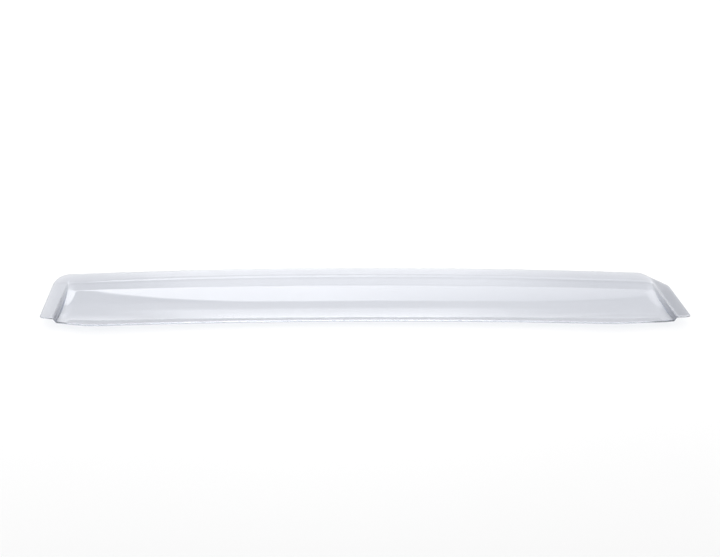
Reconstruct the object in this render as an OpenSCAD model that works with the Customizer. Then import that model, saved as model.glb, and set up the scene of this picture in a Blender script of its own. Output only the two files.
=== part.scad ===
// Window rain deflector for a car door: one sheet of clear acrylic, formed over a mould.
// A shallow tray bulges out over the glass. A flat flange runs along its roof side, and a
// flat tab closes it at each end. The side towards the car is open at the free edge.
// The sheet is worked out in its own plane first: x along the door, y from the free edge to
// the roof, and depth from the flange's back, which is stuck to the door, out into the tray.
// It is then tipped as it comes to rest on a table, hollow side up, on the belly of the tray.
// Sizes are in millimetres and degrees.

/* [Outline] */
// Distance between the lower tips of the two end tabs
tip_span = 880; // [760:1:960]
// Height of the roof edge at mid length, above the line through the tips
roof_height = 93.9; // [88:0.1:104]
// Height of the free edge at mid length, above the line through the tips
free_height = 0.5; // [0:0.1:4]
// Radius of the long arch that the roof edge and the free edge share
arch_radius = 7500; // [6500:50:12000]
// Place of the top of the free edge's arch, right of mid length
free_arch_place = 16; // [-20:1:30]
// Lean of the left end's cut edge, towards the middle
left_lean = 2; // [0:0.5:6]
// Lean of the right end's cut edge, towards the middle
right_lean = 14.5; // [8:0.5:16]
// Distance from the right tip, along the door, at which the roof edge turns down
corner_cut = 48.2; // [40:0.1:56]
// Slope of the cut corner, below the line of the door
corner_slope = 37.9; // [32:0.1:42]
// Radius of the roof corner at the left end
roof_corner = 17; // [6:0.5:18]
// Radius of the small corners at the tips
tip_corner = 2; // [1:0.1:3]
// Length over which the free edge blends into the lower edges of the tabs
tip_blend = 4; // [2:0.5:12]
// Slope of the left tab's lower edge, down from its tip
left_tip_slope = 8; // [5:0.5:14]
// Slope of the right tab's lower edge, down from its tip
right_tip_slope = 3.5; // [1:0.5:10]

/* [Flange and tabs] */
// Thickness of the sheet
sheet = 3; // [2:0.1:4]
// Width of the flat flange along the roof edge
flange_width = 11; // [8:0.1:14]
// Width of the flat left tab
left_tab = 19; // [14:0.5:24]
// Width of the flat right tab
right_tab = 19; // [14:0.5:24]

/* [Tray] */
// Width of the wall between the flange and the face
roof_wall = 18; // [12:0.5:24]
// Width of the left wall at the free edge
left_wall_low = 20; // [12:1:30]
// Width of the left wall at the roof
left_wall_high = 14; // [10:1:24]
// Width of the right wall at the free edge
right_wall_low = 20; // [12:1:36]
// Width of the right wall at the roof
right_wall_high = 15; // [10:1:24]
// Width of the steep step at the foot of both end walls
step_width = 3; // [2:0.1:6]
// Part of the depth that the left wall's step takes at the free edge
left_step = 0.85; // [0:0.05:1]
// Part of the depth that the right wall's step takes at the free edge
right_step = 0.85; // [0:0.05:1]
// Part of the depth that both steps take at the roof
roof_step = 0.7; // [0:0.05:1]
// Depth of the tray where the roof wall meets the face
shoulder_depth = 5.8; // [4:0.1:8]
// Depth of the free edge at mid length
free_depth = 8.5; // [6:0.1:12]
// Depth that the free edge loses towards the tips
free_taper = 3; // [0:0.1:4]
// Height of the face's crown over the line from its shoulder to its free edge
crown = 4.6; // [3:0.1:8]
// Part of a wall's width that turns up out of the flange
foot_share = 0.12; // [0.05:0.01:0.3]
// Part of a wall's width that rounds over into the face
brow_share = 0.5; // [0.3:0.01:0.7]

/* [Hidden] */

half_span = tip_span / 2;
// The cut edges are polished to a half round
edge_round = sheet / 2;

// Sizes of the mesh's cells: on the tabs, on the walls, along and across the face, on the
// flange, and in degrees round the cut edge
tab_cell = 3.2;
wall_cell = 2.2;
step_cell = 0.75;
along_cell = 17;
across_cell = 4;
flange_cell = 4;
edge_turn = 45;

tab_cells = ceil(left_tab / tab_cell);
step_cells = ceil(step_width / step_cell);
wall_cells = ceil(roof_wall / wall_cell);
face_cells = ceil((tip_span - left_tab - left_wall_low - right_wall_low - right_tab) / along_cell);
depth_cells = ceil((roof_height - flange_width - roof_wall) / across_cell);
flange_cells = ceil(flange_width / flange_cell);
edge_steps = ceil(180 / edge_turn) - 1;
// Where the roof edge turns down into the cut corner
cut_start = half_span - corner_cut;
// Room over which two edges blend into each other
edge_blend = 4;
// Half a step, for slopes measured from one side to the other
probe = 0.05;
// Most that the sheet's upright thickness grows on a slope, as a factor
thinning = 1.15;

columns = 2 * tab_cells + 2 * step_cells + 2 * wall_cells + face_cells;
rows = depth_cells + wall_cells + flange_cells;

// The smaller and the larger of two values, rounded where they cross
function soft_min(a, b, room) =
    min(a, b) - pow(max(room - abs(a - b), 0) / room, 3) * room / 6;
function soft_max(a, b, room) = -soft_min(-a, -b, room);

function mix(a, b, share) = a + (b - a) * share;

// Fall of the long arch, away from mid length
function arch_drop(x) = arch_radius - sqrt(pow(arch_radius, 2) - x * x);

// What a round corner takes off an edge, at a distance from the corner
function corner_drop(distance, radius) =
    radius - sqrt(max(pow(radius, 2) - pow(radius - min(max(distance, 0), radius), 2), 0));

// The two leaning ends, at a height in the sheet
function left_end(y) = -half_span + y * tan(left_lean);
function right_end(y) = half_span - y * tan(right_lean);

// The roof edge before its corner is cut, and with the cut
function roof_line(x) = roof_height - arch_drop(x);
function roof_edge(x) =
    let (cut = roof_line(cut_start) - (x - cut_start) * tan(corner_slope)
               - edge_round / cos(corner_slope))
    soft_min(roof_line(x) - edge_round, cut, edge_blend);

// The free edge, with the lower edges of the tabs rising to the tips
function free_line(x) = free_height - arch_drop(x - free_arch_place);
function free_edge(x) =
    let (left_tip = -(x + half_span) * tan(left_tip_slope),
         right_tip = -(half_span - x) * tan(right_tip_slope))
    edge_round + soft_max(soft_max(free_line(x), left_tip, tip_blend), right_tip, tip_blend);

// Share of a wall's rise at a share of its width: a bend at its foot, a straight stretch,
// and a long round over its brow
function wall_rise(share) =
    let (t = min(max(share, 0), 1), slope = 1 / (1 - (foot_share + brow_share) / 2))
    t < foot_share ? slope * t * t / (2 * foot_share) :
    t < 1 - brow_share ? slope * (t - foot_share / 2) :
    1 - slope * pow(1 - t, 2) / (2 * brow_share);

// Height in the sheet as a share of the face's, from free edge to shoulder
function up_share(y) = min(max(y / (roof_height - flange_width - roof_wall), 0), 1);
function left_wall(y) = mix(left_wall_low, left_wall_high, up_share(y));
function right_wall(y) = mix(right_wall_low, right_wall_high, up_share(y));

// The lines along which the sheet changes: foot and brow of each wall
function left_foot(y) = left_end(y) + left_tab;
function left_brow(y) = left_foot(y) + left_wall(y);
function right_foot(y) = right_end(y) - right_tab;
function right_brow(y) = right_foot(y) - right_wall(y);
function roof_foot(x) = roof_line(x) - flange_width;
function roof_brow(x) = roof_foot(x) - roof_wall;

// The face of the tray: from its shoulder down to its free edge, with a crown between them
function face_depth(x, y) =
    let (s = (roof_brow(x) - y) / (roof_brow(x) - free_line(x)),
         at_edge = free_depth - free_taper * pow(x / half_span, 2))
    mix(shoulder_depth, at_edge, s) + 4 * crown * s * (1 - s);

// Share of an end wall's rise at a distance from its foot: a steep step, then the wall itself
function end_rise(distance, width, step) =
    let (t = min(max(distance / step_width, 0), 1))
    step * t * t * (3 - 2 * t) + (1 - step) * wall_rise(distance / width);

// Depth of the sheet's inner surface below the flange's back
function depth(x, y) =
    let (left = end_rise(x - left_foot(y), left_wall(y), mix(left_step, roof_step, up_share(y))),
         right = end_rise(right_foot(y) - x, right_wall(y), mix(right_step, roof_step, up_share(y))),
         roof = wall_rise((roof_foot(x) - y) / roof_wall))
    left * right * roof * face_depth(x, y);

// Place of a column at a height: the tabs' columns gather at the round corners
function column_x(c, y) =
    let (step_left = tab_cells, wall_left = step_left + step_cells,
         face_left = wall_left + wall_cells, face_right = face_left + face_cells,
         wall_right = face_right + wall_cells, step_right = wall_right + step_cells,
         left_top = left_foot(y) + step_width, right_top = right_foot(y) - step_width)
    c <= step_left ?
        mix(left_end(y) + edge_round / cos(left_lean), left_foot(y),
            1 - cos(90 * c / step_left)) :
    c <= wall_left ? mix(left_foot(y), left_top, (c - step_left) / step_cells) :
    c <= face_left ? mix(left_top, left_brow(y), (c - wall_left) / wall_cells) :
    c <= face_right ? mix(left_brow(y), right_brow(y), (c - face_left) / face_cells) :
    c <= wall_right ? mix(right_brow(y), right_top, (c - face_right) / wall_cells) :
    c <= step_right ? mix(right_top, right_foot(y), (c - wall_right) / step_cells) :
        mix(right_end(y) - edge_round / cos(right_lean), right_foot(y),
            1 - cos(90 * (columns - c) / tab_cells));

// Height of a row, as a share of the way from the free edge to the uncut roof edge
function row_share(r, x) =
    let (low = free_edge(x), high = roof_line(x) - edge_round, face = depth_cells,
         wall = face + wall_cells)
    (r <= face ? mix(low, roof_brow(x), r / face) :
     r <= wall ? mix(roof_brow(x), roof_foot(x), (r - face) / wall_cells) :
     mix(roof_foot(x), high, (r - wall) / flange_cells)) / (high - low) - low / (high - low);

// Height of a row at a place along the sheet. The corners are round in plan.
function row_y(r, x, y) =
    let (from_left = x - left_end(y) - edge_round, from_right = right_end(y) - edge_round - x,
         low = free_edge(x) + corner_drop(from_left, tip_corner)
               + corner_drop(from_right, tip_corner),
         high = roof_edge(x) - corner_drop(from_left, roof_corner)
                - corner_drop(from_right, tip_corner))
    mix(low, high, row_share(r, x));

// A point of the mesh in plan: the columns lean, so its place and its height settle together
function plan_point(c, r, y = 0, turns = 7) =
    let (x = column_x(c, y), settled = row_y(r, x, y))
    turns == 0 ? [x, settled] : plan_point(c, r, settled, turns - 1);

// How far below the inner surface the outer one lies, at a place in plan. The sheet is even
// over the face and the roof wall, and thinner on the steep steps, where forming draws it out.
function drop(p) =
    let (along = (depth(p.x + probe, p.y) - depth(p.x - probe, p.y)) / (2 * probe),
         across = (depth(p.x, p.y + probe) - depth(p.x, p.y - probe)) / (2 * probe))
    sheet * min(norm([along, across, 1]), thinning);

plan = [for (c = [0:columns]) [for (r = [0:rows]) plan_point(c, r)]];
inner = [for (line = plan) [for (p = line) [p.x, p.y, -depth(p.x, p.y)]]];
outer = [for (c = [0:columns]) [for (r = [0:rows]) inner[c][r] - [0, 0, drop(plan[c][r])]]];

// The columns and rows met on the way round the cut edge, anticlockwise from the left tip
border = concat([for (c = [0:columns - 1]) [c, 0]], [for (r = [0:rows - 1]) [columns, r]],
                [for (c = [columns:-1:1]) [c, rows]], [for (r = [rows:-1:1]) [0, r]]);
border_count = len(border);
function border_plan(k) = let (b = border[(k + border_count) % border_count]) plan[b[0]][b[1]];

// Points of the rounded cut edge at one place on the border, from inner to outer surface
function edge_ring(k) =
    let (b = border[k], way = border_plan(k + 1) - border_plan(k - 1),
         out = [way.y, -way.x, 0] / norm(way) * edge_round,
         middle = (inner[b[0]][b[1]] + outer[b[0]][b[1]]) / 2,
         up = inner[b[0]][b[1]] - middle)
    [for (step = [1:edge_steps]) let (turn = 90 - 180 * step / (edge_steps + 1))
        middle + out * cos(turn) + up * sin(turn)];

flat_points = concat([for (line = inner) each line], [for (line = outer) each line],
                     [for (k = [0:border_count - 1]) each edge_ring(k)]);

// Place of a point in the list
surface_count = (columns + 1) * (rows + 1);
function inner_at(c, r) = c * (rows + 1) + r;
function outer_at(c, r) = surface_count + inner_at(c, r);
function edge_at(k, step) =
    let (m = k % border_count, b = border[m])
    step == 0 ? inner_at(b[0], b[1]) :
    step == edge_steps + 1 ? outer_at(b[0], b[1]) :
    2 * surface_count + m * edge_steps + step - 1;

// Each cell is two triangles, cut along its shorter diagonal
function cell(a, b, c, d) =
    norm(flat_points[a] - flat_points[c]) <= norm(flat_points[b] - flat_points[d]) ?
        [[a, b, c], [a, c, d]] : [[a, b, d], [b, c, d]];

faces = concat(
    [for (c = [0:columns - 1]) for (r = [0:rows - 1]) each
        cell(inner_at(c, r), inner_at(c, r + 1), inner_at(c + 1, r + 1), inner_at(c + 1, r))],
    [for (c = [0:columns - 1]) for (r = [0:rows - 1]) each
        cell(outer_at(c, r), outer_at(c + 1, r), outer_at(c + 1, r + 1), outer_at(c, r + 1))],
    [for (k = [0:border_count - 1]) for (step = [0:edge_steps]) each
        cell(edge_at(k, step), edge_at(k + 1, step),
             edge_at(k + 1, step + 1), edge_at(k, step + 1))]);

// The centre of gravity, from the volume of each cell between the inner and the outer surface
function cell_middle(side, c, r) =
    (side[c][r] + side[c + 1][r] + side[c + 1][r + 1] + side[c][r + 1]) / 4;
function cell_area(c, r) =
    let (rising = plan[c + 1][r + 1] - plan[c][r], falling = plan[c][r + 1] - plan[c + 1][r])
    cross(rising, falling) / 2;
cell_list = [for (c = [0:columns - 1]) for (r = [0:rows - 1])
    let (upper = cell_middle(inner, c, r), lower = cell_middle(outer, c, r))
    [cell_area(c, r) * (upper.z - lower.z), (upper + lower) / 2]];
function total(list) = list * [for (i = list) 1];
balance = [for (axis = [0:2]) total([for (i = cell_list) i[0] * i[1][axis]])]
          / total([for (i = cell_list) i[0]]);

// The sheet settles where its centre of gravity is lowest over the point that it lies on.
// Only the crown of the tray, on its outer side, can touch the table.
function up_at(tilt) = [0, -sin(tilt), cos(tilt)];
belly = [for (c = [tab_cells:columns - tab_cells]) for (r = [0:rows]) outer[c][r]];
function balance_height(tilt) =
    let (up = up_at(tilt)) balance * up - min([for (p = belly) p * up]);
function best_tilt(from, step) =
    let (tries = [for (i = [-10:10]) [balance_height(from + i * step), from + i * step]],
         lowest = min([for (i = tries) i[0]]))
    [for (i = tries) if (i[0] == lowest) i[1]][0];
rest_tilt = best_tilt(best_tilt(10, 1), 0.1);

// The points of the sheet as it lies, with the free edge up and the roof edge down
function tipped(p) =
    [p.x, p.y * cos(rest_tilt) + p.z * sin(rest_tilt), -p.y * sin(rest_tilt) + p.z * cos(rest_tilt)];
tipped_points = [for (p = flat_points) tipped(p)];
low_corner = [for (axis = [0:2]) min([for (p = tipped_points) p[axis]])];
high_corner = [for (axis = [0:2]) max([for (p = tipped_points) p[axis]])];
base_middle = [(low_corner.x + high_corner.x) / 2, (low_corner.y + high_corner.y) / 2, low_corner.z];
points = [for (p = tipped_points) p - base_middle];

echo(rest_tilt = rest_tilt, base = base_middle, balance = balance);
echo(size = high_corner - low_corner, triangles = len(faces));

module deflector_shell() {
    color("#DDE4EF", 0.35)
        polyhedron(points = points, faces = faces, convexity = 6);
}

deflector_shell();
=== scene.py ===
# %% [markdown]
# # A clear window rain deflector
# The real thing is one sheet of clear acrylic. It is heated, drawn over a mould, trimmed with a
# router and polished on its cut edges. A shallow tray bulges out over the side window of a car, a
# flat flange along its roof side is taped to the door frame, and a flat tab closes each end.
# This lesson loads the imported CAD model, makes a finer sheet by the same rule with Geometry Nodes,
# gives it acrylic, and sets it on a pale floor in soft studio light.

# %% Load the frame
import ast
import math
import bmesh
import bpy
from mathutils import Matrix, Vector


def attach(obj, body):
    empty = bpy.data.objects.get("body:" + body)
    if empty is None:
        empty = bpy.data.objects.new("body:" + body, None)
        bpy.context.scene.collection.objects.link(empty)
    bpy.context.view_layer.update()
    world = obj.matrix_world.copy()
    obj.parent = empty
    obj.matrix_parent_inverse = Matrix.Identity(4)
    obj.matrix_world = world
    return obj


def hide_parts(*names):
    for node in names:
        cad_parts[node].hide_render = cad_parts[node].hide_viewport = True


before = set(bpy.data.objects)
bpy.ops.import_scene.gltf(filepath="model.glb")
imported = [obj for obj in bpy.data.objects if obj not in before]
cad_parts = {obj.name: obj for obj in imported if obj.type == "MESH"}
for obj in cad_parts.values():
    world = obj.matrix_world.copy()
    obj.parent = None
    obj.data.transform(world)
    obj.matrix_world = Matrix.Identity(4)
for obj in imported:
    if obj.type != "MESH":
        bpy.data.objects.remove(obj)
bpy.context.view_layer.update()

# %% [markdown]
# ## One function for nodes
# A node tree is nodes, their settings and the links between them. One small function adds a node,
# sets it up and feeds its inputs, with plain values or with the outputs of other nodes.

# %% Add a node
def add(tree, kind, feeds=(), **settings):
    """Adds a node with its settings, and feeds its inputs: a socket is linked, a value is set."""
    node = tree.nodes.new(kind)
    for name, value in settings.items():
        setattr(node, name, value)
    for place, value in dict(feeds).items():
        if isinstance(value, bpy.types.NodeSocket):
            tree.links.new(value, node.inputs[place])
        else:
            node.inputs[place].default_value = value
    return node


# %% [markdown]
# ## Rules as lines of sums
# The shape of the sheet is a rule: a few dozen short sums. Drawn by hand they would be two hundred
# Math nodes. So each sum is written as a line of text, and a second function lays the lines out as
# Math nodes, each result under its own name. The rule stays readable, and the tree is still made
# of plain nodes that can be opened and changed.

# %% Lay sums out as Math nodes
OPERATIONS = {
    ast.Add: "ADD", ast.Sub: "SUBTRACT", ast.Mult: "MULTIPLY", ast.Div: "DIVIDE",
    "min": "MINIMUM", "max": "MAXIMUM", "sqrt": "SQRT", "tan": "TANGENT", "cos": "COSINE",
    "sin": "SINE", "sign": "SIGN", "soft_min": "SMOOTH_MIN", "soft_max": "SMOOTH_MAX",
}


def lay(tree, known, lines):
    """Reads lines such as a = b + 2 * c, and adds the Math nodes that work them out."""
    def part(term):
        if isinstance(term, ast.Constant):
            return float(term.value)
        if isinstance(term, ast.Name):
            return known[term.id]
        if isinstance(term, ast.UnaryOp):
            word, terms = ast.Mult, [ast.Constant(-1.0), term.operand]
        elif isinstance(term, ast.BinOp):
            word, terms = type(term.op), [term.left, term.right]
        else:
            word, terms = term.func.id, term.args
        feeds = enumerate([part(t) for t in terms])
        return add(tree, "ShaderNodeMath", feeds, operation=OPERATIONS[word]).outputs[0]

    for line in ast.parse(lines).body:
        known[line.targets[0].id] = part(line.value)


# %% [markdown]
# ## Sizes
# These are the sizes of the CAD source, in millimetres and degrees, and a few more that only the
# shade painted into the folds needs: how far it reaches, how strong it is, and where its line under
# the roof wall lies. The sheet lies tipped by the rest tilt, because its centre of gravity is lowest
# there, over the belly of the tray. Each size becomes a named input of the tree that makes the sheet,
# so it can be tried out in the modifier.

# %% Sizes of the sheet
LENGTHS = {
    "tip_span": 880, "roof_height": 93.9, "free_height": 0.5, "arch_radius": 7500,
    "free_arch_place": 16, "corner_cut": 48.2, "roof_corner": 17, "tip_corner": 2,
    "edge_blend": 4, "tip_blend": 4, "sheet": 3, "flange_width": 11, "left_tab": 19, "right_tab": 19,
    "roof_wall": 18, "left_wall_low": 20, "left_wall_high": 14, "right_wall_low": 20,
    "right_wall_high": 15, "step_width": 3, "shoulder_depth": 5.8, "free_depth": 8.5, "free_taper": 3,
    # The sizes after the crown, and the last two shares, place and weigh the shade painted into the folds.
    "crown": 4.6, "left_smoke": 9, "right_smoke": 15, "least_smoke": 3, "smoke_edge": 0.6,
    "outer_bend": 6.8, "bend_reach": 2,
}
ANGLES = {"left_lean": 2, "right_lean": 14.5, "corner_slope": 37.9, "left_tip_slope": 8,
          "right_tip_slope": 3.5, "rest_tilt": 8.1}
SHARES = {"foot_share": 0.12, "brow_share": 0.5, "left_step": 0.85, "right_step": 0.85,
          "roof_step": 0.7, "thinning": 1.15, "tab_smoke": 0.14, "bend_smoke": 0.2}
COUNTS = {"tab_columns": 14, "step_columns": 8, "wall_columns": 18, "face_columns": 300,
          "face_rows": 32, "wall_rows": 14, "flange_rows": 5, "edge_steps": 6}

tree = bpy.data.node_groups.new("formed_sheet", "GeometryNodeTree")
tree.interface.new_socket(name="Geometry", in_out="OUTPUT", socket_type="NodeSocketGeometry")
INPUTS = {}
for sizes, kind, scale in ((LENGTHS, "NodeSocketFloat", 0.001), (ANGLES, "NodeSocketFloat", math.pi / 180),
                           (SHARES, "NodeSocketFloat", 1), (COUNTS, "NodeSocketInt", 1)):
    for name, value in sizes.items():
        socket = tree.interface.new_socket(name=name, in_out="INPUT", socket_type=kind)
        INPUTS[name] = (socket.identifier, value * scale)
print("inputs of the sheet's tree:", len(INPUTS))

# %% [markdown]
# ## The flat grid
# The sheet starts as a grid with one cell to a unit, so a point's place in it is its column and
# its row. Both are stored on the points. The first guess at the plan puts every point at mid length.

# %% Grid of columns and rows
given = add(tree, "NodeGroupInput")
known = {name: given.outputs[name] for name in INPUTS}
lay(tree, known, """
columns = tab_columns * 2 + step_columns * 2 + wall_columns * 2 + face_columns
rows = face_rows + wall_rows + flange_rows
grid_columns = columns + 1
grid_rows = rows + 1
""")
grid = add(tree, "GeometryNodeMeshGrid", {"Size X": known["columns"], "Size Y": known["rows"],
                                          "Vertices X": known["grid_columns"],
                                          "Vertices Y": known["grid_rows"]})
spot = add(tree, "ShaderNodeSeparateXYZ", {0: add(tree, "GeometryNodeInputPosition").outputs[0]})
known["grid_x"], known["grid_y"] = spot.outputs[0], spot.outputs[1]
lay(tree, known, """
own_column = grid_x + columns / 2
own_row = grid_y + rows / 2
""")
shape = grid.outputs["Mesh"]
for name in ("column", "row"):
    kept = add(tree, "GeometryNodeStoreNamedAttribute",
               {"Geometry": shape, "Name": name, "Value": known["own_" + name]},
               data_type="FLOAT", domain="POINT")
    shape = kept.outputs[0]
    read = add(tree, "GeometryNodeInputNamedAttribute", {"Name": name}, data_type="FLOAT")
    known[name] = read.outputs["Attribute"]

# %% [markdown]
# ## The plan
# Both ends of the sheet lean, so a column's place depends on the height, and a row's height on the
# place. A Repeat Zone moves every point a few times until the two agree. The columns gather towards
# the cut ends, where round corners need them.

# %% Settle the plan
begin = add(tree, "GeometryNodeRepeatInput")
end = add(tree, "GeometryNodeRepeatOutput")
begin.pair_with_output(end)
begin.inputs["Iterations"].default_value = 8
nowhere = add(tree, "ShaderNodeCombineXYZ")
flat = add(tree, "GeometryNodeSetPosition", {"Geometry": shape, "Position": nowhere.outputs[0]})
tree.links.new(flat.outputs[0], begin.inputs["Geometry"])
spot = add(tree, "ShaderNodeSeparateXYZ", {0: add(tree, "GeometryNodeInputPosition").outputs[0]})
known["x"], known["y"] = spot.outputs[0], spot.outputs[1]

ENDS = """
half = tip_span / 2
edge_round = sheet / 2
left_end = y * tan(left_lean) - half
right_end = half - y * tan(right_lean)
left_foot = left_end + left_tab
right_foot = right_end - right_tab
up = min(max(y / (roof_height - flange_width - roof_wall), 0), 1)
left_wall = left_wall_low + (left_wall_high - left_wall_low) * up
right_wall = right_wall_low + (right_wall_high - right_wall_low) * up
left_brow = left_foot + left_wall
right_brow = right_foot - right_wall
"""
COLUMNS = """
left_rim = left_end + edge_round / cos(left_lean)
right_rim = right_end - edge_round / cos(right_lean)
in_left_tab = 1 - cos(1.5707963 * min(column / tab_columns, 1))
in_left_step = min(max((column - tab_columns) / step_columns, 0), 1)
in_left_wall = min(max((column - tab_columns - step_columns) / wall_columns, 0), 1)
in_face = min(max((column - tab_columns - step_columns - wall_columns) / face_columns, 0), 1)
back = columns - column
in_right_wall = min(max((back - tab_columns - step_columns) / wall_columns, 0), 1)
in_right_step = min(max((back - tab_columns) / step_columns, 0), 1)
in_right_tab = 1 - cos(1.5707963 * min(back / tab_columns, 1))
to_left_foot = (left_foot - left_rim) * in_left_tab
to_left_brow = step_width * in_left_step + (left_wall - step_width) * in_left_wall
to_right_step = (right_wall - step_width) * (1 - in_right_wall) + step_width * (1 - in_right_step)
to_right_end = (right_rim - right_foot) * (1 - in_right_tab)
over_face = (right_brow - left_brow) * in_face
new_x = left_rim + to_left_foot + to_left_brow + over_face + to_right_step + to_right_end
"""
EDGES = """
arch = x * x / (arch_radius + sqrt(arch_radius * arch_radius - x * x))
roof_line = roof_height - arch
cut_start = half - corner_cut
cut_arch = cut_start * cut_start / (2 * arch_radius)
cut_line = roof_height - cut_arch - (x - cut_start) * tan(corner_slope)
cut_edge = cut_line - edge_round / cos(corner_slope)
roof_edge = soft_min(roof_line - edge_round, cut_edge, edge_blend)
off = x - free_arch_place
free_line = free_height - off * off / (arch_radius + sqrt(arch_radius * arch_radius - off * off))
left_tip = -(x + half) * tan(left_tip_slope)
right_tip = (x - half) * tan(right_tip_slope)
free_edge = edge_round + soft_max(soft_max(free_line, left_tip, tip_blend), right_tip, tip_blend)
roof_foot = roof_line - flange_width
roof_brow = roof_foot - roof_wall
"""
ROWS = """
high = roof_line - edge_round
in_face_rows = min(row / face_rows, 1)
in_wall_rows = min(max((row - face_rows) / wall_rows, 0), 1)
in_flange_rows = max((row - face_rows - wall_rows) / flange_rows, 0)
rise_flange = (high - roof_foot) * in_flange_rows
rise = (roof_brow - free_edge) * in_face_rows + roof_wall * in_wall_rows + rise_flange
row_share = rise / (high - free_edge)
from_left = max(new_x - left_end - edge_round, 0)
from_right = max(right_end - edge_round - new_x, 0)
roof_in = roof_corner - min(from_left, roof_corner)
roof_drop = roof_corner - sqrt(max(roof_corner * roof_corner - roof_in * roof_in, 0))
left_in = tip_corner - min(from_left, tip_corner)
left_drop = tip_corner - sqrt(max(tip_corner * tip_corner - left_in * left_in, 0))
right_in = tip_corner - min(from_right, tip_corner)
right_drop = tip_corner - sqrt(max(tip_corner * tip_corner - right_in * right_in, 0))
bottom = free_edge + left_drop + right_drop
top = roof_edge - roof_drop - right_drop
new_y = bottom + (top - bottom) * row_share
"""
lay(tree, known, ENDS + COLUMNS + EDGES + ROWS)
place = add(tree, "ShaderNodeCombineXYZ", {0: known["new_x"], 1: known["new_y"], 2: 0.0})
moved = add(tree, "GeometryNodeSetPosition",
            {"Geometry": begin.outputs["Geometry"], "Position": place.outputs[0]})
tree.links.new(moved.outputs[0], end.inputs["Geometry"])
print("nodes so far:", len(tree.nodes))

# %% [markdown]
# ## Forming
# On the mould the sheet drops from the flange and the tabs in three walls that meet in soft mitres,
# and runs out into a crowned face. Each wall has a rise, from 0 at its foot to 1 at its brow: a
# bend, a straight stretch, and a long round over the brow. A share of the rise comes all at once,
# in a steep step at the foot. The product of the three rises gives the mitres: it is 1 on the face,
# and dies out softly into the corners. A smallest-of-three would leave a crease there.

# %% Draw the tray
def wall(result, distance, width):
    """The lines that work out a wall's rise, as a share of its depth, from the way up it."""
    return f"""
share = min(max(({distance}) / {width}, 0), 1)
in_foot = min(share, foot_share)
in_straight = max(min(share, 1 - brow_share) - foot_share, 0)
to_go = 1 - max(share, 1 - brow_share)
in_brow = (brow_share * brow_share - to_go * to_go) / (2 * brow_share)
bend = in_foot * in_foot / (2 * foot_share) + in_straight + in_brow
{result} = bend / (1 - (foot_share + brow_share) / 2)
"""


def step(result, distance, slow, size):
    """The lines that put a steep step, of that size at the free edge, at a wall's foot."""
    return f"""
part = min(max(({distance}) / step_width, 0), 1)
stepped = {size} + (roof_step - {size}) * up
{result} = stepped * part * part * (3 - 2 * part) + (1 - stepped) * {slow}
"""


FORM = wall("left_slow", "x - left_foot", "left_wall")
FORM += wall("right_slow", "right_foot - x", "right_wall")
FORM += step("left_rise", "x - left_foot", "left_slow", "left_step")
FORM += step("right_rise", "right_foot - x", "right_slow", "right_step")
FORM += wall("roof_rise", "roof_foot - y", "roof_wall")
FORM += """
down = (roof_brow - y) / (roof_brow - free_line)
outwards = x / half
at_edge = free_depth - free_taper * outwards * outwards
face = shoulder_depth + (at_edge - shoulder_depth) * down + 4 * crown * down * (1 - down)
height = -left_rise * right_rise * roof_rise * face
"""
lay(tree, known, FORM)
place = add(tree, "ShaderNodeCombineXYZ", {0: known["x"], 1: known["y"], 2: known["height"]})
drawn = add(tree, "GeometryNodeSetPosition",
            {"Geometry": end.outputs["Geometry"], "Position": place.outputs[0]})

print("nodes so far:", len(tree.nodes))

# %% [markdown]
# ## Painted shade at the folds
# Where the sheet is folded at its ends it looks darker, as light is caught there and leaves elsewhere,
# and that shade is painted into its colour. The painted shade follows the form, so it is worked out
# with the form, and each point keeps its share of it as an attribute that the acrylic reads later.
# It is full at the foot of an end wall, fades up the wall, and is stronger towards the free edge.
# The tab at the right has a little of it, and so has the line under the roof wall where the outer
# side bends.

# %% Paint shade at the folds
def fold(result, distance, shade_reach):
    """The lines that give the painted shade: 1 at a fold, and less over the wall that starts there."""
    return f"""
part = min(max(({distance}) / (least_smoke + {shade_reach} * (1 - up)), 0), 1)
{result} = (1 - part) * (1 - part) * min(max(({distance}) / smoke_edge + 1, 0), 1)
"""


# Painted shade: at the foot of each end wall, a little on the right tab, and a line under the roof wall.
lay(tree, known, fold("left_fold", "x - left_foot", "left_smoke")
    + fold("right_fold", "right_foot - x", "right_smoke") + """
on_right_tab = min(max((x - right_foot) / step_width, 0), 1)
past_bend = (roof_foot - y - outer_bend) / bend_reach
on_bend = max(1 - past_bend * sign(past_bend), 0)
gathered = (left_fold + right_fold) * (1 - up) + tab_smoke * on_right_tab + bend_smoke * on_bend
""")
print("nodes so far:", len(tree.nodes))

# %% [markdown]
# ## Thickness and cut edge
# The drawn surface is the hollow side. The outer side is the same surface, lower by the thickness
# of the sheet, and turned over. Measured upright, a sloping sheet is thicker by 1 over the cosine
# of its slope, but a drawn sheet also gets thinner on a steep wall, so that factor has a limit.
# Between the two sides goes the cut edge, polished to a half round. The border is taken as a closed
# curve, whose tangent says which way is out, and is then extruded in short steps round the half
# circle.

# %% Two sides of the sheet
# The painted shade of the folds is kept on the points for the acrylic.
marked = add(tree, "GeometryNodeStoreNamedAttribute",
             {"Geometry": drawn.outputs[0], "Name": "gathered", "Value": known["gathered"]},
             data_type="FLOAT", domain="POINT")
facing = add(tree, "GeometryNodeInputNormal")
inner = add(tree, "GeometryNodeStoreNamedAttribute",
            {"Geometry": marked.outputs[0], "Name": "facing", "Value": facing.outputs[0]},
            data_type="FLOAT_VECTOR", domain="POINT")
facing = add(tree, "GeometryNodeInputNamedAttribute", {"Name": "facing"}, data_type="FLOAT_VECTOR")
known["facing_up"] = add(tree, "ShaderNodeSeparateXYZ", {0: facing.outputs["Attribute"]}).outputs[2]
lay(tree, known, "fall = -sheet * min(1 / facing_up, thinning)")
through = add(tree, "ShaderNodeCombineXYZ", {2: known["fall"]})
lowered = add(tree, "GeometryNodeSetPosition",
              {"Geometry": inner.outputs[0], "Offset": through.outputs[0]})
outer = add(tree, "GeometryNodeFlipFaces", {"Mesh": lowered.outputs[0]})

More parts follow.
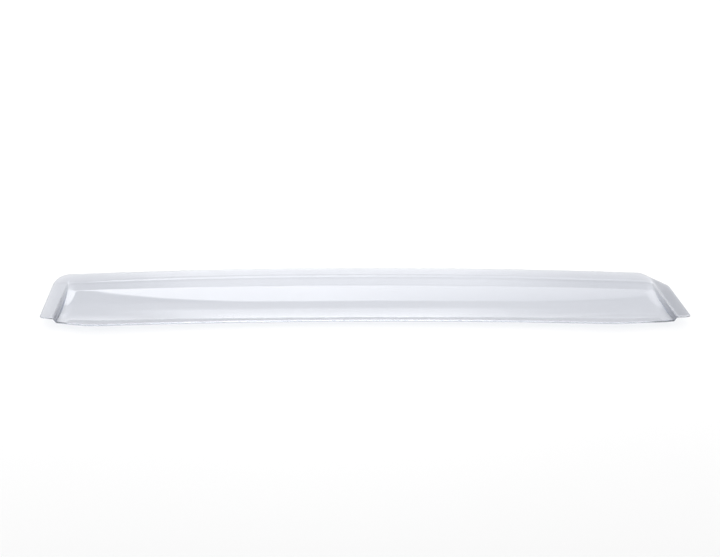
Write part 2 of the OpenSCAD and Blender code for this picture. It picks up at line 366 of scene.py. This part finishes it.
# %% Border curve
neighbours = add(tree, "GeometryNodeInputMeshEdgeNeighbors")
border = add(tree, "FunctionNodeCompare", {"A": neighbours.outputs[0], "B": 1},
             data_type="INT", operation="EQUAL")
loop = add(tree, "GeometryNodeMeshToCurve",
           {"Mesh": inner.outputs[0], "Selection": border.outputs[0]})
tangent = add(tree, "GeometryNodeInputTangent")
side = add(tree, "ShaderNodeVectorMath",
           {0: tangent.outputs[0], 1: (0.0, 0.0, 1.0)}, operation="CROSS_PRODUCT")
lay(tree, known, "centre_y = roof_height / 2")
centre = add(tree, "ShaderNodeCombineXYZ", {1: known["centre_y"]})
from_centre = add(tree, "ShaderNodeVectorMath",
                  {0: add(tree, "GeometryNodeInputPosition").outputs[0], 1: centre.outputs[0]},
                  operation="SUBTRACT")
agree = add(tree, "ShaderNodeVectorMath", {0: side.outputs[0], 1: from_centre.outputs[0]},
            operation="DOT_PRODUCT")
turn = add(tree, "ShaderNodeMath", {0: agree.outputs["Value"]}, operation="SIGN")
out = add(tree, "ShaderNodeVectorMath", {"Vector": side.outputs[0], "Scale": turn.outputs[0]},
          operation="SCALE")
out = add(tree, "ShaderNodeVectorMath", {0: out.outputs[0]}, operation="NORMALIZE")
loop = add(tree, "GeometryNodeStoreNamedAttribute",
           {"Geometry": loop.outputs[0], "Name": "out", "Value": out.outputs[0]},
           data_type="FLOAT_VECTOR", domain="POINT")
wire = add(tree, "GeometryNodeCurveToMesh", {"Curve": loop.outputs[0]})

# %% Half-round edge
half_in = add(tree, "ShaderNodeVectorMath", {"Vector": through.outputs[0], "Scale": 0.5},
              operation="SCALE")
middle = add(tree, "ShaderNodeVectorMath",
             {0: add(tree, "GeometryNodeInputPosition").outputs[0], 1: half_in.outputs[0]})
wire = add(tree, "GeometryNodeStoreNamedAttribute",
           {"Geometry": wire.outputs[0], "Name": "middle", "Value": middle.outputs[0]},
           data_type="FLOAT_VECTOR", domain="POINT")
wire = add(tree, "GeometryNodeStoreNamedAttribute",
           {"Geometry": wire.outputs[0], "Name": "half_in", "Value": half_in.outputs[0]},
           data_type="FLOAT_VECTOR", domain="POINT")
start = add(tree, "GeometryNodeRepeatInput")
stop = add(tree, "GeometryNodeRepeatOutput")
start.pair_with_output(stop)
stop.repeat_items.new("BOOLEAN", "Front")
tree.links.new(known["edge_steps"], start.inputs["Iterations"])
tree.links.new(wire.outputs[0], start.inputs["Geometry"])
start.inputs["Front"].default_value = True
grown = add(tree, "GeometryNodeExtrudeMesh",
            {"Mesh": start.outputs["Geometry"], "Selection": start.outputs["Front"],
             "Offset Scale": 0.0}, mode="EDGES")
known["step"] = start.outputs["Iteration"]
lay(tree, known, """
turned = 3.1415927 * (step + 1) / edge_steps
outward = edge_round * sin(turned)
upward = -cos(turned)
""")
reads = {name: add(tree, "GeometryNodeInputNamedAttribute", {"Name": name},
                   data_type="FLOAT_VECTOR").outputs["Attribute"]
         for name in ("out", "middle", "half_in")}
sideways = add(tree, "ShaderNodeVectorMath", {"Vector": reads["out"], "Scale": known["outward"]},
               operation="SCALE")
upwards = add(tree, "ShaderNodeVectorMath", {"Vector": reads["half_in"], "Scale": known["upward"]},
              operation="SCALE")
ring = add(tree, "ShaderNodeVectorMath", {0: reads["middle"], 1: sideways.outputs[0]})
ring = add(tree, "ShaderNodeVectorMath", {0: ring.outputs[0], 1: upwards.outputs[0]})
ringed = add(tree, "GeometryNodeSetPosition",
             {"Geometry": grown.outputs["Mesh"], "Selection": grown.outputs["Top"],
              "Position": ring.outputs[0]})
tree.links.new(ringed.outputs[0], stop.inputs["Geometry"])
tree.links.new(grown.outputs["Top"], stop.inputs["Front"])

# %% [markdown]
# ## One closed sheet, as it lies
# The three surfaces are joined and welded, tipped to the angle of rest, and shifted so that the
# middle of the sheet's box stands on the origin, as in the CAD model.

# %% Weld, tip and place
joined = add(tree, "GeometryNodeJoinGeometry")
for part_of in (inner.outputs[0], outer.outputs[0], stop.outputs["Geometry"]):
    tree.links.new(part_of, joined.inputs[0])
cut_edge = add(tree, "GeometryNodeMergeByDistance",
               {"Geometry": joined.outputs[0], "Distance": 0.00001})
lay(tree, known, "tip = -rest_tilt")
tilt = add(tree, "ShaderNodeCombineXYZ", {0: known["tip"]})
tipped = add(tree, "GeometryNodeTransform",
             {"Geometry": cut_edge.outputs[0], "Rotation": tilt.outputs[0]})
box = add(tree, "GeometryNodeBoundBox", {"Geometry": tipped.outputs[0]})
low, high = (add(tree, "ShaderNodeSeparateXYZ", {0: box.outputs[name]}) for name in ("Min", "Max"))
known.update(low_x=low.outputs[0], low_y=low.outputs[1], low_z=low.outputs[2],
             high_x=high.outputs[0], high_y=high.outputs[1])
lay(tree, known, """
shift_x = -(low_x + high_x) / 2
shift_y = -(low_y + high_y) / 2
shift_z = -low_z
""")
shift = add(tree, "ShaderNodeCombineXYZ",
            {i: known["shift_" + axis] for i, axis in enumerate("xyz")})
placed = add(tree, "GeometryNodeTransform",
             {"Geometry": tipped.outputs[0], "Translation": shift.outputs[0]})
print("nodes in all:", len(tree.nodes))

# %% [markdown]
# ## Thermoformed acrylic
# Cast acrylic is clear, with a refractive index of 1.49, and looks faintly blue-grey. In a sheet of
# 3 mm an absorption inside would hardly show on the face and turn the cut edges dark. So most of
# the tint is the colour of the two surfaces, and only a weak absorption is left inside. A hard coat
# on the outside makes the mirror images of the lamps stronger. The shade at the folds is painted in
# as a darker tint, mixed in by the attribute. Shadow rays and the floor's own rays pass straight
# through, a little dimmed, so that the floor under the sheet is lit as by a clear pane. Forming
# leaves a long faint waviness in the reflections, and wiping leaves hairlines.

# %% Colours
def linear(code):
    """A colour written as sRGB hex, as linear red, green, blue and alpha."""
    parts = [int(code[i:i + 2], 16) / 255 for i in (0, 2, 4)]
    return (*[p / 12.92 if p <= 0.04045 else ((p + 0.055) / 1.055) ** 2.4 for p in parts], 1.0)


# %% Clear acrylic
acrylic = bpy.data.materials.new("thermoformed_clear_acrylic")
acrylic.use_nodes = True
nodes = acrylic.node_tree
nodes.nodes.clear()
spot = add(nodes, "ShaderNodeTexCoord")
wave_place = add(nodes, "ShaderNodeMapping",
                 {"Vector": spot.outputs["Object"], "Scale": (1.0, 3.0, 1.0)})
# Waves of the forming: about 60 mm long and 20 mm across
waves = add(nodes, "ShaderNodeTexNoise", {"Vector": wave_place.outputs[0], "Scale": 16.0,
                                          "Detail": 1.0})
wave_bump = add(nodes, "ShaderNodeBump", {"Height": waves.outputs[0], "Strength": 0.1,
                                          "Distance": 0.001})
# Hairlines of wiping: a fraction of a millimetre apart, long along the door
line_place = add(nodes, "ShaderNodeMapping",
                 {"Vector": spot.outputs["Object"], "Scale": (12.0, 900.0, 300.0)})
hairlines = add(nodes, "ShaderNodeTexNoise", {"Vector": line_place.outputs[0], "Scale": 1.0,
                                              "Detail": 3.0})
gloss = add(nodes, "ShaderNodeMapRange", {"Value": hairlines.outputs[0], "From Min": 0.45,
                                          "From Max": 0.75, "To Min": 0.02, "To Max": 0.06})
# Pale blue-grey acrylic, and a darker tint as painted shade where the tree's attribute says so. The
# colours of a Mix node are its inputs 6 and 7 and its output 2.
fold_shade_share = add(nodes, "ShaderNodeAttribute", attribute_name="gathered")
tint_and_painted_shade = add(nodes, "ShaderNodeMix",
             {0: fold_shade_share.outputs["Fac"], 6: linear("CFD1D7"), 7: linear("7F828C")}, data_type="RGBA")
# The hard coat lies on the outside only, and light that runs inside the sheet doesn't meet it
side_hit = add(nodes, "ShaderNodeNewGeometry")
outside = add(nodes, "ShaderNodeMath", {0: 1.0, 1: side_hit.outputs["Backfacing"]},
              operation="SUBTRACT")
surface = add(nodes, "ShaderNodeBsdfPrincipled",
              {"Base Color": tint_and_painted_shade.outputs[2], "Roughness": gloss.outputs[0], "IOR": 1.49,
               "Transmission Weight": 1.0, "Coat Weight": outside.outputs[0], "Coat Roughness": 0.03,
               "Coat IOR": 1.5, "Normal": wave_bump.outputs[0]})
straight = add(nodes, "ShaderNodeBsdfTransparent", {"Color": linear("F2F3F5")})
ray = add(nodes, "ShaderNodeLightPath")
lights = add(nodes, "ShaderNodeMath", {0: ray.outputs["Is Shadow Ray"],
                                       1: ray.outputs["Is Diffuse Ray"]}, operation="MAXIMUM")
both = add(nodes, "ShaderNodeMixShader", {0: lights.outputs[0], 1: surface.outputs[0],
                                          2: straight.outputs[0]})
tint = add(nodes, "ShaderNodeVolumeAbsorption", {"Color": (0.6, 0.7, 0.85, 1.0), "Density": 2.0})
add(nodes, "ShaderNodeOutputMaterial", {"Surface": both.outputs[0], "Volume": tint.outputs[0]})
print("nodes of the acrylic:", len(nodes.nodes))

# %% [markdown]
# ## From tree to mesh
# The tree needs an object with a modifier to run on. The inputs are set by their identifiers before
# it runs, and the result is kept as a plain mesh, because the export takes no live trees. On a
# closed skin every edge has two faces, which is counted here. The finished sheet stands for the
# CAD model's sheet, and moves with the same body.

# %% Finish the tree and make the sheet
dressed = add(tree, "GeometryNodeSetMaterial",
              {"Geometry": add(tree, "GeometryNodeRealizeInstances",
                               {"Geometry": placed.outputs[0]}).outputs[0],
               "Material": acrylic})
add(tree, "NodeGroupOutput", {"Geometry": dressed.outputs[0]})
maker = bpy.data.objects.new("sheet_maker", bpy.data.meshes.new("sheet_maker"))
bpy.context.scene.collection.objects.link(maker)
forming = maker.modifiers.new("forming", "NODES")
forming.node_group = tree
for name, (identifier, value) in INPUTS.items():
    forming[identifier] = value
made = bpy.data.meshes.new_from_object(maker.evaluated_get(bpy.context.evaluated_depsgraph_get()))
bpy.data.objects.remove(maker)
print("faces made:", len(made.polygons))

# %% Count open edges and turn all faces outwards
work = bmesh.new()
work.from_mesh(made)
bmesh.ops.recalc_face_normals(work, faces=work.faces)
open_edges = sum(1 for e in work.edges if len(e.link_faces) != 2)
print("points", len(work.verts), "faces", len(work.faces), "open edges", open_edges,
      "volume, ml:", round(work.calc_volume() * 1e6, 2))
work.to_mesh(made)
work.free()
made.shade_smooth()
made.name = "clear_acrylic_sheet"
sheet = bpy.data.objects.new("clear_acrylic_sheet", made)
bpy.context.scene.collection.objects.link(sheet)
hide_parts("deflector_shell")
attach(sheet, "root")

# %% [markdown]
# ## White floor
# The floor is plain white paper, and it keeps the shadow of the sheet. Paper that is lit at a plain
# level falls a little short of white in a picture. So the paper also glows faintly, for rays that
# look at it and not for rays that light things: the rays of the camera, of a reflection, and those
# that come through the clear sheet. Away from the object it glows more, and more again towards the
# horizon, where the lamp is weak.

# %% Rays that look
def any_look(nodes):
    """1 for a ray of the camera, of a reflection or through glass, and 0 for one that only lights."""
    ray = add(nodes, "ShaderNodeLightPath")
    direct = add(nodes, "ShaderNodeMath", {0: ray.outputs["Is Camera Ray"],
                                           1: ray.outputs["Is Glossy Ray"]}, operation="MAXIMUM")
    return add(nodes, "ShaderNodeMath", {0: direct.outputs[0], 1: ray.outputs["Is Transmission Ray"]},
               operation="MAXIMUM").outputs[0]


def fade(result, value, start, end):
    """The lines that fade smoothly from 0, where the value is at its start, to 1 at its end."""
    return f"""
share = min(max(({value} - ({start})) / ({end} - ({start})), 0), 1)
{result} = share * share * (3 - 2 * share)
"""


# %% Floor
floor_mesh = bpy.data.meshes.new("floor")
reach = 6
corners = [(-reach, -reach, 0), (reach, -reach, 0), (reach, reach, 0), (-reach, reach, 0)]
floor_mesh.from_pydata(corners, [], [(0, 1, 2, 3)])
floor = bpy.data.objects.new("floor", floor_mesh)
bpy.context.scene.collection.objects.link(floor)
paper = bpy.data.materials.new("white_paper")
paper.use_nodes = True
nodes = paper.node_tree
nodes.nodes.clear()
matt = add(nodes, "ShaderNodeBsdfDiffuse", {"Color": (0.71, 0.71, 0.71, 1.0)})
spot = add(nodes, "ShaderNodeTexCoord").outputs["Object"]
far = add(nodes, "ShaderNodeVectorMath", {0: spot}, operation="LENGTH").outputs["Value"]
on_floor = {"far": far, "look": any_look(nodes)}
lay(nodes, on_floor, fade("away", "far", 0.3, 2.2) + fade("horizon", "far", 2, 5)
    + "glow = look * (0.15 + 0.45 * away + 0.15 * horizon)")
glow = add(nodes, "ShaderNodeEmission",
           {"Color": (1.0, 1.0, 1.0, 1.0), "Strength": on_floor["glow"]})
whole = add(nodes, "ShaderNodeAddShader", {0: matt.outputs[0], 1: glow.outputs[0]})
add(nodes, "ShaderNodeOutputMaterial", {"Surface": whole.outputs[0]})
floor_mesh.materials.append(paper)
print("floor, m:", 2 * reach, "x", 2 * reach)

# %% [markdown]
# ## White walls and a grey ceiling
# What a clear sheet shows is mostly its surroundings, so the room counts. The world is a room with
# white walls up to the height of a person and a grey ceiling over them, with a soft change between.

# %% World
world = bpy.data.worlds.new("studio")
bpy.context.scene.world = world
world.use_nodes = True
nodes = world.node_tree
nodes.nodes.clear()
ways = add(nodes, "ShaderNodeTexCoord").outputs["Generated"]
way = add(nodes, "ShaderNodeSeparateXYZ", {0: ways})
in_room = {"height": way.outputs[2]}
lay(nodes, in_room, fade("ceiling", "height", 0.3, 0.55) + "strength = 1 - 0.75 * ceiling")
room = add(nodes, "ShaderNodeBackground",
           {"Color": (1.0, 1.0, 1.0, 1.0), "Strength": in_room["strength"]})
add(nodes, "ShaderNodeOutputWorld", {"Surface": room.outputs[0]})
print("nodes of the room:", len(nodes.nodes))

# %% [markdown]
# ## A cloth with light behind it
# Glossy things are lit through a large white cloth. Lamps behind it make soft pools of light on it,
# and the sheet mirrors those pools as pale bands without hard ends. Here the cloth is one area lamp,
# 1.5 m over the floor. Its node tree knows the place on the cloth, x along the sheet and y away from
# the camera, in metres, and the pools are sums of it. The key pool makes the long bright band, the
# top pool lights the flange, and two weak ones lie far back. A dark patch at the right makes the
# tab at that end darker. Every pool fades at its borders, and all of them lie on a plain level.

# %% Lamp
CLOTH = {"middle_x": 0.0, "middle_y": 1.85, "width": 3.6, "depth": 4.5}
LEVELS = {"plain": 1.25, "key_full": 2.8, "top_full": 1.4, "far_full": 0.4, "back_full": 0.9,
          "dim": 0.55}
CLOTH_HEIGHT = 1.5
cloth = bpy.data.lights.new("lit_cloth", "AREA")
cloth.shape, cloth.size, cloth.size_y = "RECTANGLE", CLOTH["width"], CLOTH["depth"]
cloth.energy = math.pi * CLOTH["width"] * CLOTH["depth"]
cloth.use_nodes = True
nodes = cloth.node_tree
nodes.nodes.clear()
spot = add(nodes, "ShaderNodeSeparateXYZ", {0: add(nodes, "ShaderNodeNewGeometry").outputs["Parametric"]})
on_cloth = {**CLOTH, **LEVELS, "u": spot.outputs[0], "v": spot.outputs[1]}
POOLS = """
x = middle_x + width * (u - 0.5)
y = middle_y + depth * (v - 0.5)
bow_left = max(-0.35 - x, 0)
bow_right = max(x - 0.5, 0)
bowed = y + 2.5 * bow_left * bow_left + 2 * bow_right * bow_right
key_level = 1 - 0.7 * min(max((x + 0.15) / 1.1, 0), 1) - 0.2 * min(max((y - 0.5) / 0.6, 0), 1)
"""
for name, value, start, end in (
        ("key_left", "x", -1.0, -0.88), ("key_right", "x", 1.05, 0.9),
        ("key_near", "y", 0.38, 0.47), ("key_far", "bowed", 1.3, 1.16),
        ("top_left", "x", -0.85, -0.4), ("top_right", "x", 0.75, 0.3),
        ("top_near", "y", -0.3, -0.1), ("top_far", "y", 0.42, 0.3),
        ("far_left", "x", -1.25, -0.7), ("far_right", "x", 1.1, 0.3),
        ("far_near", "y", 1.1, 1.4), ("back_near", "y", 1.75, 2.1),
        ("dark_right", "x", 1.27, 1.33), ("dark_near", "y", 1.4, 1.65),
        ("dark_far", "y", 2.1, 1.95), ("dim_near", "y", 2.4, 2.9)):
    POOLS += fade(name, value, start, end)
lay(nodes, on_cloth, POOLS + """
key = key_full * key_level * key_left * key_right * key_near * key_far
top = top_full * top_left * top_right * top_near * top_far
back = far_left * far_right * (far_full * far_near + back_full * back_near)
dark = dark_right * (plain * dark_near * dark_far + dim * dim_near)
strength = plain + key + top + back - dark
""")
lit = add(nodes, "ShaderNodeEmission",
          {"Color": (1.0, 1.0, 1.0, 1.0), "Strength": on_cloth["strength"]})
add(nodes, "ShaderNodeOutputLight", {0: lit.outputs[0]})
hung = bpy.data.objects.new("lit_cloth", cloth)
bpy.context.scene.collection.objects.link(hung)
hung.location = (CLOTH["middle_x"], CLOTH["middle_y"], CLOTH_HEIGHT)
hung.visible_camera = False
print("nodes behind the cloth:", len(nodes.nodes))

# %% [markdown]
# ## Long paths of light
# Light that enters a clear sheet can run along inside it for dozens of reflections before it comes
# out at the cut edge, and that is what makes the edge glow. So the paths may have many bounces.

# %% Bounces
BOUNCES = 64
for name in ("max_bounces", "glossy_bounces", "transmission_bounces"):
    setattr(bpy.context.scene.cycles, name, BOUNCES)
print("bounces:", BOUNCES)

# %% [markdown]
# ## Camera
# The photograph looks down on the sheet from the side of its free edge. The camera's place, and the
# way ahead and to the right of it, were fitted to the outline of the sheet in the photograph.

# %% Camera
eye = bpy.data.cameras.new("camera")
eye.sensor_width, eye.lens = 36.0, 40.0
camera = bpy.data.objects.new("camera", eye)
bpy.context.scene.collection.objects.link(camera)
place = Vector((-0.0079, -0.6419, 0.9169))
ahead = Vector((0.0009, 0.5951, -0.8036)).normalized()
right = Vector((1.0, -0.0016, 0.0)).normalized()
upward = right.cross(ahead)
camera.matrix_world = Matrix((
    (right.x, upward.x, -ahead.x, place.x), (right.y, upward.y, -ahead.y, place.y),
    (right.z, upward.z, -ahead.z, place.z), (0, 0, 0, 1)))
bpy.context.scene.camera = camera
bpy.context.scene.view_settings.view_transform = "Standard"
print("camera looks down by, degrees:", round(math.degrees(math.asin(-ahead.z)), 1))
